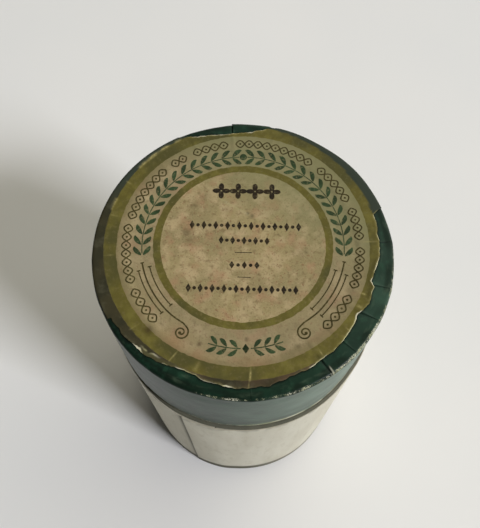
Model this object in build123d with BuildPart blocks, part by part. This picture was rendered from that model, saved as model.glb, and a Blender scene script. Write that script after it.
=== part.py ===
from build123d import *
import os
from math import cos, radians, sin

# A moulded phonograph cylinder in its round pasteboard carton, with a slip-on lid.
# The carton stands on z = 0 with its axis on Z, and the lid is closed. Millimetres and degrees.

# The closed carton
total_height = 117.0
lid_radius = 35.0
lid_height = 30.25
body_radius = 35.8
neck_showing = 2.5

# Papers, boards and cloth
cover_paper = 0.25
label_paper = 0.2
base_paper_thickness = 0.2
lid_disc_board = 2.2
base_board = 2.0
neck_board = 2.0
pad_cloth = 2.0
lining_cloth = 2.5
neck_play = 0.3
lining_play = 0.3

# How the cover papers are turned over
tab_length = 8.5
lid_turn_in = 10.0
base_turn_in = 8.0
lap_width = 9.0
lid_corner_radius = 0.9
base_paper_margin = 2.3
neck_edge_bevel = 0.3
lining_edge_bevel = 0.8
lining_below_neck = 1.0

# The moulded cylinder
record_length = 108.0
record_radius = 27.8
bore_narrow_radius = 21.3
bore_wide_radius = 22.8
bore_land = 4.0
bore_end_bevel = 0.6
land_ramp = 0.7
rib_count = 8
rib_height = 0.9
rib_crest = 1.8
rib_foot = 3.4
groove_margin = 4.0
groove_depth = 0.15
groove_ramp = 0.4
title_bevel_height = 2.2
title_bevel_width = 1.1
foot_bevel = 0.8

# Heights, from the top of the label down to the record's foot
tabs_top = total_height - label_paper
lid_disc_top = tabs_top - cover_paper
neck_top = lid_disc_top - lid_disc_board
lid_low = total_height - lid_height
body_top = lid_low - neck_showing
body_low = base_paper_thickness
board_low = body_low + cover_paper
floor_top = board_low + base_board
pad_top = floor_top + pad_cloth
lining_top = neck_top - lining_below_neck

# Radii, from the record out to the lid
lining_inner = record_radius + lining_play
neck_inner = lining_inner + lining_cloth
neck_radius = neck_inner + neck_board
lid_turn_in_radius = neck_radius + neck_play
rim_inner = lid_turn_in_radius + cover_paper
rim_outer = lid_radius - cover_paper
tube_outer = body_radius - cover_paper
tabs_inner = lid_radius - tab_length
turn_in_end = body_radius - base_turn_in

# Directions of the slits between the lid's folded tabs: hand cut, so unevenly spaced
slit_angles = (
    4, 20, 37, 56, 76, 95, 113, 131, 150, 167, 184,
    200, 217, 229, 241, 250, 273, 288, 303.5, 315.5, 330.5, 344,
)
slit_width = 0.3
open_slit_angle = 303.5
open_slit_width = 0.9
slit_inner = tabs_inner - 0.1
slit_outer = lid_radius - 0.5
base_slit_count = 16
base_slit_outer = body_radius - 1.5

# Directions of the lapped joints in the two cover papers
body_seam_angle = 244.4
lid_seam_angle = 80.0

# The label lies a little behind the lid's centre. Its margin is whole along two stretches, each
# with a first and a last direction, and torn away between them.
label_centre = (-0.07, 1.68)
label_radius = 35.2
label_over_corner = 0.25
label_step = 0.6
back_stretch = (16, 80)
left_stretch = (113, 212)
back_tear = ((83, 32.2), (85, 30.6), (95, 30.4), (101, 30.6), (106, 30.9), (110, 31.9))
front_tear = (
    (213, 34.3), (222, 34.2), (227, 33.6), (232, 33.2), (240, 32.6), (246, 32.3), (252, 32.7),
    (256, 33.4), (262, 34.2), (270, 34.2), (280, 34.5), (283, 33.2), (293, 32.7), (303, 32.4),
    (312, 31.8), (320, 31.3), (326, 30.8), (330, 31.6), (340, 31.5), (342, 30.5), (345, 30.6),
    (350, 31.3), (362, 31.5), (374, 31.6),
)


def polar(angle, radius, centre=(0, 0)):
    """The point at a direction and a distance from a centre."""
    return (centre[0] + radius * cos(radians(angle)), centre[1] + radius * sin(radians(angle)))


def ring(outer, inner):
    """A ring drawn in the sketch that is open."""
    Circle(outer)
    Circle(inner, mode=Mode.SUBTRACT)


def lap_points(radius, angle, step):
    """Three points of an arc across a cover paper's lap: a step out at its free edge, none at its end."""
    half_turn = lap_width / radians(2 * radius)
    return [polar(angle + k * half_turn, radius + step * (1 - k / 2)) for k in range(3)]


def corner_points(radius, height, size):
    """Four points round a top corner of that size, from the wall at a radius up to its top."""
    return [
        (radius - size + size * cos(radians(turn)), height - size + size * sin(radians(turn)))
        for turn in (0, 30, 60, 90)
    ]


def bore_radius(height):
    """The taper's radius at a height above the record's foot, between the two end lands."""
    share = (height - bore_land) / (record_length - 2 * bore_land)
    return bore_narrow_radius + share * (bore_wide_radius - bore_narrow_radius)


# The body tube: convolute-wound pasteboard, the carton's outer wall below the lid.
with BuildPart() as body_tube:
    with BuildSketch(Plane.XY.offset(board_low)):
        ring(tube_outer, neck_radius)
    extrude(amount=body_top - board_low)

# The base: a pasteboard disc set inside the tube's foot.
with BuildPart() as base_disc:
    with BuildSketch(Plane.XY.offset(board_low)):
        Circle(neck_radius)
    extrude(amount=base_board)

# The body's printed cover: a sheet round the tube, lapped at its joint and turned in under the base.
with BuildPart() as body_wrap:
    with BuildSketch(Plane.XY.offset(body_low)):
        ring(body_radius, tube_outer)
    extrude(amount=body_top - body_low)
    with BuildSketch(Plane.XY.offset(body_low)):
        ring(body_radius, turn_in_end)
        with PolarLocations(turn_in_end, base_slit_count):
            Rectangle(2 * (base_slit_outer - turn_in_end), slit_width, mode=Mode.SUBTRACT)
    extrude(amount=cover_paper)
    with BuildSketch(Plane.XY.offset(board_low)):
        with BuildLine():
            inner = ThreePointArc(*lap_points(body_radius, body_seam_angle, 0))
            outer = ThreePointArc(*lap_points(body_radius, body_seam_angle, cover_paper))
            Line(inner @ 0, outer @ 0)
        make_face()
    extrude(amount=body_top - board_low)

# The base paper: a disc pasted over the turned-in tabs, which the carton stands on.
with BuildPart() as base_paper:
    with BuildSketch():
        Circle(body_radius - base_paper_margin)
    extrude(amount=base_paper_thickness)

# The neck: an inner tube that stands proud of the body, for the lid to slip over and rest on.
with BuildPart() as neck_tube:
    with BuildSketch(Plane.XY.offset(floor_top)):
        ring(neck_radius, neck_inner)
    extrude(amount=neck_top - floor_top)
    rim_edges = neck_tube.edges().filter_by(GeomType.CIRCLE).group_by(Axis.Z)[-1]
    chamfer(rim_edges, length=neck_edge_bevel)

# The lining: napped cotton pasted inside the neck tube, which holds the record by its sides.
with BuildPart() as flannel_lining:
    with BuildSketch(Plane.XY.offset(pad_top)):
        ring(neck_inner, lining_inner)
    extrude(amount=lining_top - pad_top)
    soft_edges = flannel_lining.edges().filter_by(GeomType.CIRCLE).group_by(Axis.Z)[-1]
    chamfer(soft_edges, length=lining_edge_bevel)

# The base pad: a disc of the same cloth under the record.
with BuildPart() as base_pad:
    with BuildSketch(Plane.XY.offset(floor_top)):
        Circle(neck_inner)
    extrude(amount=pad_cloth)

# The record: a moulded tube with a tapered bore. Ribs round the bore stop at the taper, so that
# only they and the two end lands touch the mandrel. The title end is up and has a broad bevel.
with BuildPart() as record_cylinder:
    foot = pad_top
    head = pad_top + record_length
    with BuildSketch(Plane.XZ):
        bore_points = [(bore_narrow_radius, foot), (bore_narrow_radius, foot + bore_land)]
        rib_pitch = (record_length - 2 * bore_land) / (rib_count + 1)
        for number in range(rib_count):
            middle = bore_land + (number + 1) * rib_pitch
            for offset_z, rise in ((-rib_foot, 0), (-rib_crest, 1), (rib_crest, 1), (rib_foot, 0)):
                height = middle + offset_z / 2
                bore_points.append((bore_radius(height) + rib_height * (1 - rise), foot + height))
        bore_points.insert(2, (bore_narrow_radius + rib_height, foot + bore_land + land_ramp))
        bore_points.append((bore_wide_radius + rib_height, head - bore_land - land_ramp))
        bore_points += [(bore_wide_radius, head - bore_land), (bore_wide_radius, head - bore_end_bevel)]
        outside_points = [
            (bore_wide_radius + bore_end_bevel, head),
            (record_radius - title_bevel_width, head),
            (record_radius, head - title_bevel_height),
            (record_radius, head - title_bevel_height - groove_margin),
            (record_radius - groove_depth, head - title_bevel_height - groove_margin - groove_ramp),
            (record_radius - groove_depth, foot + foot_bevel + groove_margin + groove_ramp),
            (record_radius, foot + foot_bevel + groove_margin),
            (record_radius, foot + foot_bevel),
            (record_radius - foot_bevel, foot),
        ]
        with BuildLine():
            Polyline(*bore_points, *outside_points, close=True)
        make_face()
    revolve(axis=Axis.Z)

# The lid's rim: a short wound tube with a softened top corner.
with BuildPart() as lid_rim:
    with BuildSketch(Plane.XZ):
        with BuildLine():
            Polyline(
                (rim_inner, lid_low + cover_paper),
                (rim_outer, lid_low + cover_paper),
                *corner_points(rim_outer, lid_disc_top, lid_corner_radius - cover_paper),
                (rim_inner, lid_disc_top),
                close=True,
            )
        make_face()
    revolve(axis=Axis.Z)

# The lid's top: a pasteboard disc set flush inside the rim, which rests on the neck.
with BuildPart() as lid_disc:
    with BuildSketch(Plane.XY.offset(neck_top)):
        Circle(rim_inner)
    extrude(amount=lid_disc_board)

# The lid's cover: one sheet round the rim, turned up inside it at the foot, and slit into tabs
# that are folded over the top corner and pasted down on the disc.
with BuildPart() as lid_wrap:
    with BuildSketch(Plane.XZ):
        with BuildLine():
            Polyline(
                (tabs_inner, tabs_top),
                *reversed(corner_points(lid_radius, tabs_top, lid_corner_radius)),
                (lid_radius, lid_low),
                (lid_turn_in_radius, lid_low),
                (lid_turn_in_radius, lid_low + lid_turn_in),
                (rim_inner, lid_low + lid_turn_in),
                (rim_inner, lid_low + cover_paper),
                (rim_outer, lid_low + cover_paper),
                *corner_points(rim_outer, lid_disc_top, lid_corner_radius - cover_paper),
                (tabs_inner, lid_disc_top),
                close=True,
            )
        make_face()
    revolve(axis=Axis.Z)
    with BuildSketch(Plane.XY.offset(lid_low)):
        with BuildLine():
            inner = ThreePointArc(*lap_points(lid_radius, lid_seam_angle, 0))
            outer = ThreePointArc(*lap_points(lid_radius, lid_seam_angle, cover_paper))
            Line(inner @ 0, outer @ 0)
        make_face()
    extrude(amount=lid_height - 2 * lid_corner_radius)
    with BuildSketch(Plane.XY.offset(lid_disc_top)):
        for angle in slit_angles:
            width = open_slit_width if angle == open_slit_angle else slit_width
            middle = polar(angle, (slit_inner + slit_outer) / 2)
            with Locations(Location((*middle, 0), (0, 0, angle))):
                Rectangle(slit_outer - slit_inner, width)
    extrude(amount=cover_paper, mode=Mode.SUBTRACT)

# The label: a round paper that steps up over the tabs' ends, with its margin torn away in places.
with BuildPart() as lid_label:
    label_edge = lid_radius - lid_corner_radius + label_over_corner
    with BuildSketch(Plane.XZ):
        with BuildLine():
            Polyline(
                (0, lid_disc_top),
                (tabs_inner - label_step, lid_disc_top),
                (tabs_inner, tabs_top),
                (label_edge, tabs_top),
                (label_edge, total_height),
                (tabs_inner, total_height),
                (tabs_inner - label_step, lid_disc_top + label_paper),
                (0, lid_disc_top + label_paper),
                close=True,
            )
        make_face()
    revolve(axis=Axis.Z)
    with BuildSketch(Plane.XY.offset(lid_disc_top)):
        with BuildLine():
            ends = []
            for first, last in (back_stretch, left_stretch):
                middle = (first + last) / 2
                arc = ThreePointArc(
                    *(polar(angle, label_radius, label_centre) for angle in (first, middle, last))
                )
                ends.append((arc @ 0, arc @ 1))
            back_points = [polar(angle, radius, label_centre) for angle, radius in back_tear]
            front_points = [polar(angle, radius, label_centre) for angle, radius in front_tear]
            Polyline(ends[0][1], *back_points, ends[1][0])
            Polyline(ends[1][1], *front_points, ends[0][0])
        make_face()
    extrude(amount=cover_paper + label_paper, mode=Mode.INTERSECT)

pieces = {
    "body_tube": body_tube,
    "base_disc": base_disc,
    "body_wrap": body_wrap,
    "base_paper": base_paper,
    "neck_tube": neck_tube,
    "flannel_lining": flannel_lining,
    "base_pad": base_pad,
    "record_cylinder": record_cylinder,
    "lid_rim": lid_rim,
    "lid_disc": lid_disc,
    "lid_wrap": lid_wrap,
    "lid_label": lid_label,
}

os.makedirs("parts", exist_ok=True)
for name, piece in pieces.items():
    piece.part.label = name
    export_step(piece.part, f"parts/{name}.step")
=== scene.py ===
# %% [markdown]
# # A phonograph cylinder in its carton
# A moulded phonograph cylinder was sold in a round pasteboard carton. A tall body and a short lid
# are covered with paper, a printed label is pasted on the lid, and napped cotton inside holds the
# record. This notebook dresses the measured model of that carton: the model gives every size, and
# the cells below give paper, board, print, cloth and wax, with the wear of a hundred years.

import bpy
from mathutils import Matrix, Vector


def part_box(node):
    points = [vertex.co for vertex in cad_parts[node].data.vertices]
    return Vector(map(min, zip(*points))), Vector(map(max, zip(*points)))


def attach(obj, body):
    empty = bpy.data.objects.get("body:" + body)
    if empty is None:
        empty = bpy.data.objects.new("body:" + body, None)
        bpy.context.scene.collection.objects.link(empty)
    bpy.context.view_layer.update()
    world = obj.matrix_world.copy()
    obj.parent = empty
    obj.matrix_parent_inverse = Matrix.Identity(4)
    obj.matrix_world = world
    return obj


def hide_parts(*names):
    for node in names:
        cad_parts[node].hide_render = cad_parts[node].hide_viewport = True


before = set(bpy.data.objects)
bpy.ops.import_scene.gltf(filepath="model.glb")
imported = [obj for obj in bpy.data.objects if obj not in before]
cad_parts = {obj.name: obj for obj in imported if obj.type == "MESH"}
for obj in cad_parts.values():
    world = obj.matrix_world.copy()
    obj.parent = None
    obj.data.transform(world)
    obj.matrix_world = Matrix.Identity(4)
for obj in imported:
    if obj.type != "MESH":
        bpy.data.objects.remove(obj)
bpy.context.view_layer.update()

# %% [markdown]
# ## Sizes
# All of this notebook's sizes are in millimetres, as a carton maker would write them, and become
# metres only when a mesh is made. Sizes that the measured model already holds are read from its
# pieces, so a change there carries through. Directions are in degrees, counter-clockwise seen from
# above, with 0 to the right and 270 towards the front of the label.

import bmesh
import bpy
import numpy as np
from mathutils import Matrix, Vector

MM = 0.001


def size_of(node):
    """A piece of the measured model: its lowest and highest point and its radius, in mm."""
    low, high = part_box(node)
    return low[2] / MM, high[2] / MM, high[0] / MM


TOP = size_of("lid_label")[1]
LID_LOW, TABS_TOP = size_of("lid_wrap")[:2]
DISC_TOP = size_of("lid_disc")[1]
BODY_LOW, BODY_TOP = size_of("body_wrap")[:2]
TUBE_TOP, TUBE_RADIUS = size_of("body_tube")[1:]
HOOP_RADIUS = size_of("lid_rim")[2]
NECK_RADIUS = size_of("neck_tube")[2]
LINING_TOP, LINING_RADIUS = size_of("flannel_lining")[1:]
PAD_LOW, PAD_TOP = size_of("base_pad")[:2]
RECORD_RADIUS = size_of("record_cylinder")[2]
COVER_PAPER = TABS_TOP - DISC_TOP
LID_RADIUS = HOOP_RADIUS + COVER_PAPER
BODY_RADIUS = TUBE_RADIUS + COVER_PAPER
print(f"lid {2 * LID_RADIUS:.1f} mm across, body {2 * BODY_RADIUS:.1f} mm, {TOP:.1f} mm tall in all")

# %% [markdown]
# ## A few helpers for materials
# Colours are written as sRGB hex values, the way a paint chart or a picture editor gives them.
# Blender mixes light in linear values, so one function turns the one into the other. A second
# function adds a shader node with its settings and links. Old paper is built up as it came to be:
# a base colour, then coats over it, each with a mask that says where it lies.

# %% Colour and node helpers
SOFT_RANGE = {"interpolation_type": "SMOOTHSTEP"}
TIMES = {"operation": "MULTIPLY", "use_clamp": True}
LESS = {"operation": "SUBTRACT", "use_clamp": True}
GREATER = {"operation": "MAXIMUM", "use_clamp": True}


def colour(hex_value):
    """sRGB to linear: each channel over 0.04045 is ((c + 0.055) / 1.055) to the power 2.4."""
    channels = [int(hex_value[k:k + 2], 16) / 255 for k in (1, 3, 5)]
    linear = [c / 12.92 if c <= 0.04045 else ((c + 0.055) / 1.055) ** 2.4 for c in channels]
    return (*linear, 1.0)


def add(tree, kind, settings, sockets):
    """Adds a node with its settings. Each socket takes a plain value or another node's output."""
    node = tree.nodes.new("ShaderNode" + kind)
    for name, value in settings.items():
        setattr(node, name, value)
    for key, value in sockets.items():
        if isinstance(value, bpy.types.NodeSocket):
            tree.links.new(value, node.inputs[key])
        else:
            node.inputs[key].default_value = value
    return node


def new_material(name):
    """An empty material, its node tree and the place on the object, which all patterns use."""
    material = bpy.data.materials.new(name)
    material.use_nodes = True
    tree = material.node_tree
    tree.nodes.clear()
    return material, tree, add(tree, "TexCoord", {}, {}).outputs["Object"]


def finish_material(tree, base, rough, **others):
    """The last two nodes of every material: a Principled surface and the output."""
    sockets = {name.replace("_", " "): value for name, value in others.items()}
    sockets.update({"Base Color": base, "Roughness": rough})
    surface = add(tree, "BsdfPrincipled", {}, sockets)
    add(tree, "OutputMaterial", {}, {"Surface": surface.outputs[0]})


def patches(tree, where, size, low, high, detail=3.0):
    """A mask of soft patches: noise whose blobs are about size mm across, stretched so that low
    becomes 0 and high becomes 1."""
    noise = add(tree, "TexNoise", {}, {"Vector": where, "Scale": 1 / (size * MM), "Detail": detail})
    return add(tree, "MapRange", SOFT_RANGE, {0: noise.outputs[0], 1: low, 2: high}).outputs[0]


def coats(tree, where, base, *listed):
    """Lays coats of colour over a base colour. Each coat is a mask, its strength and a colour. A
    mask is another node's output, or size, low and high of soft patches, and detail."""
    base = colour(base) if isinstance(base, str) else base
    for mask, strength, coat in listed:
        if isinstance(mask, tuple):
            mask = patches(tree, where, *mask)
        if strength != 1:
            mask = add(tree, "Math", TIMES, {0: mask, 1: strength}).outputs[0]
        coat = colour(coat) if isinstance(coat, str) else coat
        base = add(tree, "Mix", {"data_type": "RGBA"}, {0: mask, 6: base, 7: coat}).outputs[2]
    return base


def relief(tree, where, per_metre, detail, strength, depth):
    """A fine bump from noise, depth in mm, with so many grains to the metre."""
    noise = {"Vector": where, "Scale": per_metre, "Detail": detail}
    grain = add(tree, "TexNoise", {}, noise).outputs[0]
    bump = {"Strength": strength, "Distance": depth * MM, "Height": grain}
    return add(tree, "Bump", {}, bump).outputs[0]


def dress(node, material):
    """Gives a piece of the measured model its material."""
    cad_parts[node].data.materials.clear()
    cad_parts[node].data.materials.append(material)


print("linear mid grey:", [round(c, 3) for c in colour("#808080")[:3]])

# %% [markdown]
# ## Surfaces as thin as paper, from formulas
# Every new piece is a grid of points: one direction runs along a section, the other runs round the
# carton. A section could be drawn as a curve and spun with the Screw modifier, but here each point
# is worked out in numpy, because old paper isn't perfectly round and every row has to differ a
# little. Rows run outward along the bottom, up the outside and inward over the top, so that all
# faces point outwards.

# %% From a grid of points to a mesh


def make_piece(name, grid, body, slot, material, closed_round=True, closed_section=True, **values):
    """A mesh from points[row, column] in mm. Each quad joins two rows and two columns.
    closed_round joins the last column to the first and closed_section the last row to the first.
    An open end of a closed section gets a flat cap. Points that meet in a pole are merged.
    values are extra numbers for each point, kept as attributes, and uv is kept as a UV map."""
    rows, columns = grid.shape[:2]
    index = np.arange(rows * columns).reshape(rows, columns)
    upper = np.roll(index, -1, axis=0) if closed_section else index[1:]
    lower = index if closed_section else index[:-1]
    quads = np.stack([lower, np.roll(lower, -1, axis=1), np.roll(upper, -1, axis=1), upper], axis=-1)
    if not closed_round:
        quads = quads[:, :-1]
    faces = quads.reshape(-1, 4).tolist()
    if closed_section and not closed_round:
        faces += [index[:, 0].tolist(), index[::-1, -1].tolist()]
    mesh = bpy.data.meshes.new(name)
    mesh.from_pydata((grid.reshape(-1, 3) * MM).tolist(), [], faces)
    uv = values.pop("uv", None)
    for key, value in values.items():
        attribute = mesh.attributes.new(key, "FLOAT", "POINT")
        value = np.broadcast_to(value, (rows, columns)).astype(np.float32)
        attribute.data.foreach_set("value", value.ravel())
    if uv is not None:
        corners = np.zeros(len(mesh.loops), dtype=np.int32)
        mesh.loops.foreach_get("vertex_index", corners)
        layer = mesh.uv_layers.new(name="paper")
        layer.data.foreach_set("uv", (uv.reshape(-1, 2) * MM)[corners].astype(np.float32).ravel())
    shape = bmesh.new()
    shape.from_mesh(mesh)
    bmesh.ops.remove_doubles(shape, verts=shape.verts, dist=1e-7)
    shape.to_mesh(mesh)
    shape.free()
    mesh.shade_smooth()
    piece = bpy.data.objects.new(name, mesh)
    bpy.context.scene.collection.objects.link(piece)
    mesh.materials.append(material)
    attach(piece, body)
    print(f"{name}: {len(mesh.polygons)} faces")
    return piece


def smooth(share):
    """A ramp from 0 to 1 with soft ends: 3 s squared less 2 s cubed, between s = 0 and s = 1."""
    s = np.clip(share, 0, 1)
    return s * s * (3 - 2 * s)


def bell(offset, half, power=2):
    """A bump of height 1: exp(-(offset / half)^power). A higher power gives it a flatter top."""
    return np.exp(-(offset / half) ** power)


def bell_round(angles, at, half, power=2):
    """The same bump round the carton, in the direction at, with its half width in degrees."""
    return bell(from_middle(angles - at), half, power)


def from_middle(angle):
    """An angle's distance from 0 in degrees, between -180 and 180."""
    return (angle + 180) % 360 - 180


def unevenness(x, y, cell, seed):
    """Smooth random heights between -1 and 1: random values on a square lattice of that cell size,
    blended along both sides of each cell by the soft ramp."""
    table = np.random.default_rng(seed).uniform(-1, 1, (512, 512))
    column, row = np.floor(x / cell).astype(int), np.floor(y / cell).astype(int)
    across, along = smooth(x / cell - column), smooth(y / cell - row)
    values = [[table[(row + j) % 512, (column + i) % 512] for i in (0, 1)] for j in (0, 1)]
    low = values[0][0] * (1 - across) + values[0][1] * across
    high = values[1][0] * (1 - across) + values[1][1] * across
    return low * (1 - along) + high * along


def spin(radius, height, angles):
    """Carries a section round the axis: x is radius times cosine and y is radius times sine. Both
    radius and height have a row for each point of the section, and may differ along a row."""
    turn = np.radians(angles)
    points = np.broadcast_arrays(radius * np.cos(turn), radius * np.sin(turn), height)
    return np.stack(points, axis=-1)


def run(start, end, count):
    """Points along a straight line of a section, without the last one."""
    return np.linspace(start, end, count, endpoint=False)


def bend(centre, radius, first, last, count):
    """Points along an arc of a section, without the last one, from one direction to another."""
    turn = np.radians(run(first, last, count))
    return np.stack([centre[0] + radius * np.cos(turn), centre[1] + radius * np.sin(turn)], axis=-1)


print("unevenness at three places:", np.round(unevenness(np.array([0, 5, 9]), np.zeros(3), 4, 1), 2))

# %% [markdown]
# ## The stage: table, window light and camera
# The carton stands on a pale table beside a window. A plain plane takes the soft shadow. The window
# is one area light on the right, a little in front. The rest of the room is a pale sky that is
# brightest low on the right and behind, and almost dark on the left in front, so the shadows are
# soft and the carton's foot has a dark rim. Together they light a level surface so that a colour
# shows about as it is written. The camera looks down steeply from close by, which is why the carton
# tapers so much towards its foot.

# %% Table, light and sky
TABLE_HALF = 3000.0
table = bpy.data.objects.new("table", bpy.data.meshes.new("table"))
around = ((-1, -1), (1, -1), (1, 1), (-1, 1))
table_corners = [(x * TABLE_HALF * MM, y * TABLE_HALF * MM, 0) for x, y in around]
table.data.from_pydata(table_corners, [], [(0, 1, 2, 3)])
bpy.context.scene.collection.objects.link(table)
paint, tree, where = new_material("matt white table, sprayed and rubbed")
table_colour = coats(tree, where, "#E2E1DD", ((120, 0.3, 0.7), 1, "#E6E4DF"))
finish_material(tree, table_colour, 0.6, Specular_IOR_Level=0.2)
table.data.materials.append(paint)

WINDOW_DIRECTION = -33.5
WINDOW_HEIGHT = 43.0
WINDOW_DISTANCE = 5500.0
WINDOW_SIDE = 1300.0
WINDOW_POWER = 252.0
SKY_DIRECTION = 46.0
SKY_HEIGHT = 10.0
SKY_EDGE = 0.25
SKY_MOST = 1.85
SKY_LEAST = 0.07


def direction_of(around, above):
    """A unit vector from two angles in degrees: round the axis, and above the table."""
    turn, rise = np.radians(around), np.radians(above)
    return Vector((np.cos(rise) * np.cos(turn), np.cos(rise) * np.sin(turn), np.sin(rise)))


window = bpy.data.objects.new("window", bpy.data.lights.new("window", "AREA"))
window.data.shape = "SQUARE"
window.data.size = WINDOW_SIDE * MM
window.data.energy = WINDOW_POWER
window.data.color = colour("#F4F6FF")[:3]
towards = direction_of(WINDOW_DIRECTION, WINDOW_HEIGHT)
window.location = towards * WINDOW_DISTANCE * MM
window.rotation_mode = "QUATERNION"
window.rotation_quaternion = towards.to_track_quat("Z", "Y")
bpy.context.scene.collection.objects.link(window)

sky = bpy.data.worlds.new("pale room")
sky.use_nodes = True
tree = sky.node_tree
looking = add(tree, "TexCoord", {}, {}).outputs["Generated"]
brightest = {0: looking, 1: direction_of(SKY_DIRECTION, SKY_HEIGHT)}
leaning = add(tree, "VectorMath", {"operation": "DOT_PRODUCT"}, brightest).outputs["Value"]
sky_range = {0: leaning, 1: SKY_EDGE, 2: 1.0, 3: SKY_LEAST, 4: SKY_MOST}
brightness = add(tree, "MapRange", {}, sky_range).outputs[0]
background = tree.nodes["Background"]
background.inputs[0].default_value = colour("#FFFDF1")
tree.links.new(brightness, background.inputs[1])
bpy.context.scene.world = sky
bpy.context.scene.view_settings.view_transform = "Standard"
print("window:", [round(c, 2) for c in window.location], "m from the carton's foot")

# %% Camera
PICTURE_HEIGHT_PX = 528
LENS_PX = 661.9
CAMERA_ELEVATION = 66.62
CAMERA_DISTANCE = 151.27
CAMERA_ROLL = 0.3
CAMERA_TARGET = (-0.68, -3.66, TOP)
SENSOR = 36.0

camera = bpy.data.objects.new("camera", bpy.data.cameras.new("camera"))
camera.data.sensor_width = SENSOR
camera.data.lens = LENS_PX * SENSOR / PICTURE_HEIGHT_PX
camera.data.clip_start = 0.01
rise, roll = np.radians(CAMERA_ELEVATION), np.radians(CAMERA_ROLL)
back = np.array([0, -np.cos(rise), np.sin(rise)])
right = np.array([1.0, 0, 0])
up = np.cross(back, right)
side = right * np.cos(roll) + up * np.sin(roll)
upright = up * np.cos(roll) - right * np.sin(roll)
place = (np.array(CAMERA_TARGET) + back * CAMERA_DISTANCE) * MM
camera.matrix_world = Matrix([*np.column_stack([side, upright, back, place]).tolist(), [0, 0, 0, 1]])
bpy.context.scene.collection.objects.link(camera)
bpy.context.scene.camera = camera
print("camera:", np.round(place, 3), "m, lens", round(camera.data.lens, 1), "mm")

# %% [markdown]
# ## Pasteboard
# The tubes, the lid's hoop and the discs are pasteboard: grey-brown straw and waste-paper board,
# wound or cut and glued in plies. It is matt and slightly hairy. What gives it away is its cut
# edge, where the plies show as fine rings. The plies could be modelled as grooves, but they are a
# third of a millimetre apart, so a ring pattern worked out from the distance to the axis does.

# %% Pasteboard material
PLY = 0.45  # real plies are about 0.3 mm thick, drawn a little coarser so that they show

pasteboard, tree, where = new_material("pasteboard, wound and pasted in plies")
flat_place = add(tree, "VectorMath", {"operation": "MULTIPLY"}, {0: where, 1: (1, 1, 0)}).outputs[0]
distance = add(tree, "VectorMath", {"operation": "LENGTH"}, {0: flat_place}).outputs["Value"]
wave_number = 2 * np.pi / (PLY * MM)
turns = add(tree, "Math", {"operation": "MULTIPLY"}, {0: distance, 1: wave_number}).outputs[0]
ring_wave = add(tree, "Math", {"operation": "SINE"}, {0: turns}).outputs[0]
plies = add(tree, "MapRange", {}, {0: ring_wave, 1: -1.0, 2: 1.0}).outputs[0]
base = coats(tree, where, "#5F5E50", ((6, 0.35, 0.7), 1, "#6D6B5A"), (plies, 0.35, "#545343"),
             ((1.2, 0.6, 0.75), 1, "#524F41"))
hairs = relief(tree, where, 2500, 4, 0.35, 0.1)
finish_material(tree, base, 0.85, Normal=hairs, Specular_IOR_Level=0.25)

for node in ("base_disc", "neck_tube", "lid_disc"):
    dress(node, pasteboard)
print("pasteboard on the base, neck and lid disc")

# %% [markdown]
# ## Glazed green paper
# The lid is covered with a dark green paper, coated with colour and calendered between rollers, so
# it has a dull gloss. On the lid's side, which faces the window and the sky, a paler grey green is
# painted on the right as painted light, where the window's light falls. Wear takes the coating off
# along every edge and bares the pale paper. The wear mask comes from the mesh, which knows where its
# edges are, and noise breaks it up.

# %% Glazed green paper material
green_paper, tree, where = new_material("coated green cover paper, calendered")
wear, dirt, bare, shade, faded = [add(tree, "Attribute", {"attribute_name": name}, {}).outputs["Fac"]
                                  for name in ("wear", "dirt", "bare", "shade", "faded")]
# Long scuffs: noise that is drawn out along the sheet
along = add(tree, "TexCoord", {}, {}).outputs["UV"]
stretched = add(tree, "Mapping", {}, {"Vector": along, "Scale": (0.4, 1.1, 1.0)}).outputs[0]
scuffs = patches(tree, stretched, 1.6, 0.52, 0.78, 5.0)
# A paler grey green is painted on the right, where the window lights the wall: painted light
# The darkest coat is real dirt and also painted shade: a shadow along the label's edge and a crease above
# the foot
base = coats(tree, where, "#14271D", ((9, 0.35, 0.65), 1, "#1B3526"), ((2.2, 0.5, 0.72), 1, "#203C2C"),
             (faded, 1, "#5A7462"), (shade, 0.8, "#131B13"), (scuffs, 0.25, "#5E6E58"),
             (dirt, 0.85, "#0C130E"))
grain = patches(tree, where, 0.2, 0.36, 0.64, 4.0)
rubbed = add(tree, "Math", TIMES, {0: grain, 1: wear}).outputs[0]
rubbed = add(tree, "MapRange", SOFT_RANGE, {0: rubbed, 1: 0.22, 2: 0.6}).outputs[0]
worn = add(tree, "Math", GREATER, {0: rubbed, 1: bare}).outputs[0]
pale = coats(tree, where, "#A2A382", ((3, 0.4, 0.6), 1, "#C6C4AC"))
base = coats(tree, where, base, (worn, 1, pale))
rough = add(tree, "MapRange", {}, {0: worn, 3: 0.33, 4: 0.8}).outputs[0]
crinkle = relief(tree, where, 900, 5, 0.2, 0.2)
finish_material(tree, base, rough, Normal=crinkle, Specular_IOR_Level=0.09)
print("green paper:", len(tree.nodes), "nodes")

# %% [markdown]
# ## Label paper with its printed bands
# The label is uncoated paper gone tan, with two printed olive bands and a dark margin. The bands
# are plain rings, so they are worked out in the material from the distance to the label's own
# middle, which lies a little behind the lid's. A Mapping node centres the pattern there. The edges
# of the print waver a little, and the print is rubbed through to the paper over every bump.

# %% Label paper material
LABEL_MIDDLE = (0.01, 1.64)
INNER_BAND = (19.2, 20.9)
OUTER_BAND = (29.3, 32.3)
DARKER_FROM = 27.0
PRINT_WAVER = 0.22
PRINT_SOFT = 0.05

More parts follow.
